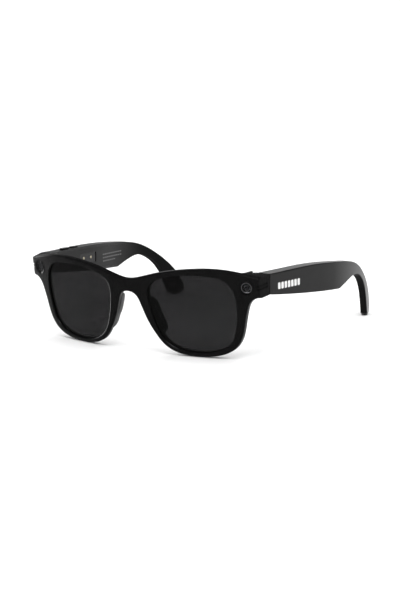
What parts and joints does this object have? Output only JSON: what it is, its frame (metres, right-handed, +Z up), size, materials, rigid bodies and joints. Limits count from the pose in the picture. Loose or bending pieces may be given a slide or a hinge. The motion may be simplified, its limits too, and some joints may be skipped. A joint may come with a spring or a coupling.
{
  "type": "smart glasses",
  "caption": "Camera smart glasses with dark lenses, folding arms with electronics and ear hooks, two press buttons and charging contacts.",
  "frame": {"origin": "centre of the bounding box on the table under the standing glasses", "axes": "+X to the wearer's left, +Y from the front towards the ears, +Z up from the table"},
  "size_m": [0.1592, 0.142, 0.048],
  "materials": {
    "frame_plastic": "satin black moulded nylon",
    "arm_plastic": "satin black moulded nylon",
    "cover_plastic": "matt black",
    "lens_tint": "dark grey tint",
    "pad_plastic": "matt black",
    "bezel_gloss": "polished black",
    "window_glass": "clear over black",
    "ring_steel": "turned",
    "coated_glass": "coated",
    "optics_black": "black anodised look",
    "guide_clear": "milky clear",
    "board_green": "solder mask",
    "battery_foil": "foil pouch",
    "speaker_black": "moulded",
    "mesh_steel": "woven",
    "mic_can": "can",
    "flex_amber": "polyimide",
    "hinge_steel": "dark steel",
    "button_gloss": "satin black",
    "contact_gold": "gold plated",
    "magnet_nickel": "nickel plated"
  },
  "bodies": {
    "front": {"camera_barrel": "optics_black", "camera_bezel": "bezel_gloss", "camera_lens": "coated_glass", "camera_module": "board_green", "camera_ring": "ring_steel", "camera_window": "window_glass", "front_flex_cable": "flex_amber", "front_frame": "frame_plastic", "front_hinge_left": "hinge_steel", "front_hinge_right": "hinge_steel", "front_hinge_screws": "hinge_steel", "hinge_pin_left": "hinge_steel", "hinge_pin_right": "hinge_steel", "indicator_bezel": "bezel_gloss", "indicator_board": "board_green", "indicator_light_guide": "guide_clear", "indicator_window": "window_glass", "lens_left": "lens_tint", "lens_right": "lens_tint", "nose_pad_left": "pad_plastic", "nose_pad_right": "pad_plastic", "rear_cover": "cover_plastic"},
    "temple_left": {"temple_left_battery": "battery_foil", "temple_left_circuit_board": "board_green", "temple_left_cover": "cover_plastic", "temple_left_flex_cable": "flex_amber", "temple_left_hinge": "hinge_steel", "temple_left_hinge_screws": "hinge_steel", "temple_left_microphone": "mic_can", "temple_left_shell": "arm_plastic", "temple_left_speaker": "speaker_black", "temple_left_speaker_mesh": "mesh_steel"},
    "temple_right": {"temple_right_battery": "battery_foil", "temple_right_circuit_board": "board_green", "temple_right_cover": "cover_plastic", "temple_right_flex_cable": "flex_amber", "temple_right_hinge": "hinge_steel", "temple_right_hinge_screws": "hinge_steel", "temple_right_microphone": "mic_can", "temple_right_shell": "arm_plastic", "temple_right_speaker": "speaker_black", "temple_right_speaker_mesh": "mesh_steel", "button_switches": "board_green", "charging_contacts": "contact_gold", "charging_magnets": "magnet_nickel", "charging_plate": "button_gloss"},
    "capture_button": {"capture_button": "button_gloss"},
    "power_button": {"power_button": "button_gloss"}
  },
  "joints": [
    {"name": "temple_left_fold", "type": "hinge", "parent": "front", "child": "temple_left", "pos_m": [0.0679, -0.04954, 0.04021], "axis": [0, 0.0607, 0.9982], "range_deg": [0, 88]},
    {"name": "temple_right_fold", "type": "hinge", "parent": "front", "child": "temple_right", "pos_m": [-0.0679, -0.04954, 0.04021], "axis": [0, -0.0607, -0.9982], "range_deg": [0, 74]},
    {"name": "capture_button_press", "type": "slide", "parent": "temple_right", "child": "capture_button", "axis": [0, -0.0607, -0.9982], "range_m": [0, 0.0004], "stiffness_N_per_m": 800, "springref_m": -0.001},
    {"name": "power_button_press", "type": "slide", "parent": "temple_right", "child": "power_button", "axis": [0, -0.0607, -0.9982], "range_m": [0, 0.0004], "stiffness_N_per_m": 800, "springref_m": -0.001}
  ]
}
